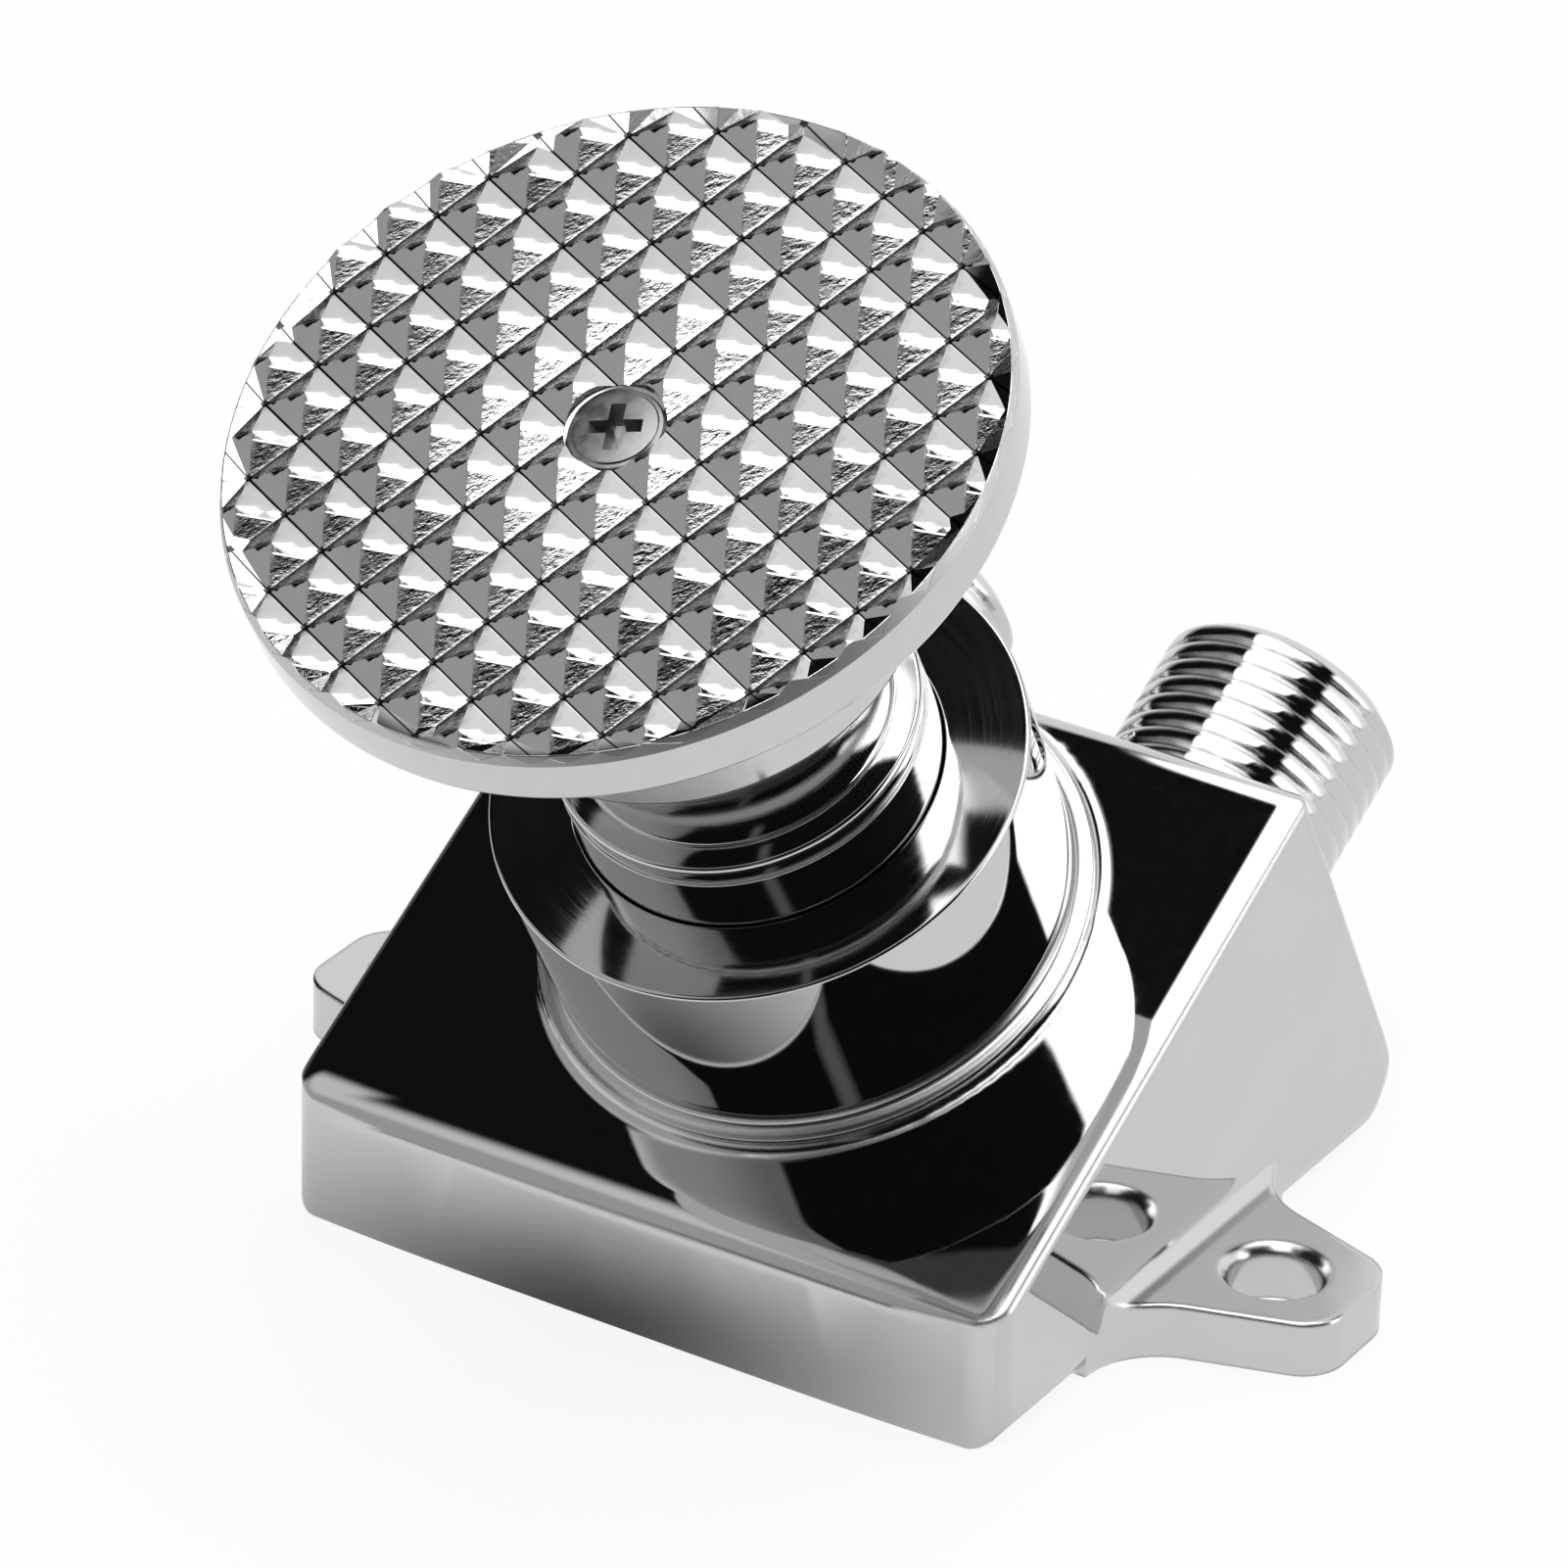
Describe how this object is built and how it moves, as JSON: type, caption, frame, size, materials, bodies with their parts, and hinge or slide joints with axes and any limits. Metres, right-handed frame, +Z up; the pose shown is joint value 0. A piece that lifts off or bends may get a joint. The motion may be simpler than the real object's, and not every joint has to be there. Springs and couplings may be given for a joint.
{
  "type": "foot pedal tap valve",
  "caption": "Floor-fixed foot pedal tap valve: a chromed wedge casting with ears and threaded ports, and a sprung round tread pedal that is pressed to open it.",
  "frame": {"origin": "on the floor, midway between the two ear holes", "axes": "+Z up, -Y towards the user, +X to the user's right; the stem leans towards the user"},
  "size_m": [0.0982, 0.1077, 0.0965],
  "materials": {
    "chrome_casting": "polished chrome plate",
    "chrome_turned": "turned and chrome plated",
    "chrome_tread": "cast tread, chrome plated",
    "zinc_screw": "zinc plated",
    "spring_steel": "machined",
    "brass": "machined",
    "seal_rubber": "moulded",
    "gasket_fibre": "pressed fibre",
    "guide_plastic": "moulded"
  },
  "bodies": {
    "housing": {"valve_body": "chrome_casting", "bonnet": "chrome_turned", "bonnet_gasket": "gasket_fibre", "wiper_seal": "seal_rubber", "guide_ring": "guide_plastic", "return_spring": "spring_steel", "spring_washer": "spring_steel", "gland": "brass", "gland_o_ring": "seal_rubber", "spindle_o_rings": "seal_rubber", "valve_seat": "brass", "seat_gasket": "gasket_fibre"},
    "poppet": {"valve_head": "brass", "valve_washer": "seal_rubber"},
    "pedal": {"pedal_plate": "chrome_tread", "pedal_screw": "zinc_screw", "plunger": "chrome_turned", "plunger_o_ring": "seal_rubber", "spindle": "brass", "valve_clip": "spring_steel"}
  },
  "joints": [
    {"name": "pedal_press", "type": "slide", "parent": "housing", "child": "poppet", "axis": [0, 0.4924, -0.8704], "range_m": [0, 0.005], "stiffness_N_per_m": 3000, "springref_m": -0.005, "deforming": ["return_spring"]},
    {"name": "pedal_spin", "type": "hinge", "parent": "poppet", "child": "pedal", "pos_m": [0, -0.0038, 0.0262], "axis": [0, -0.4924, 0.8704], "continuous": true}
  ]
}
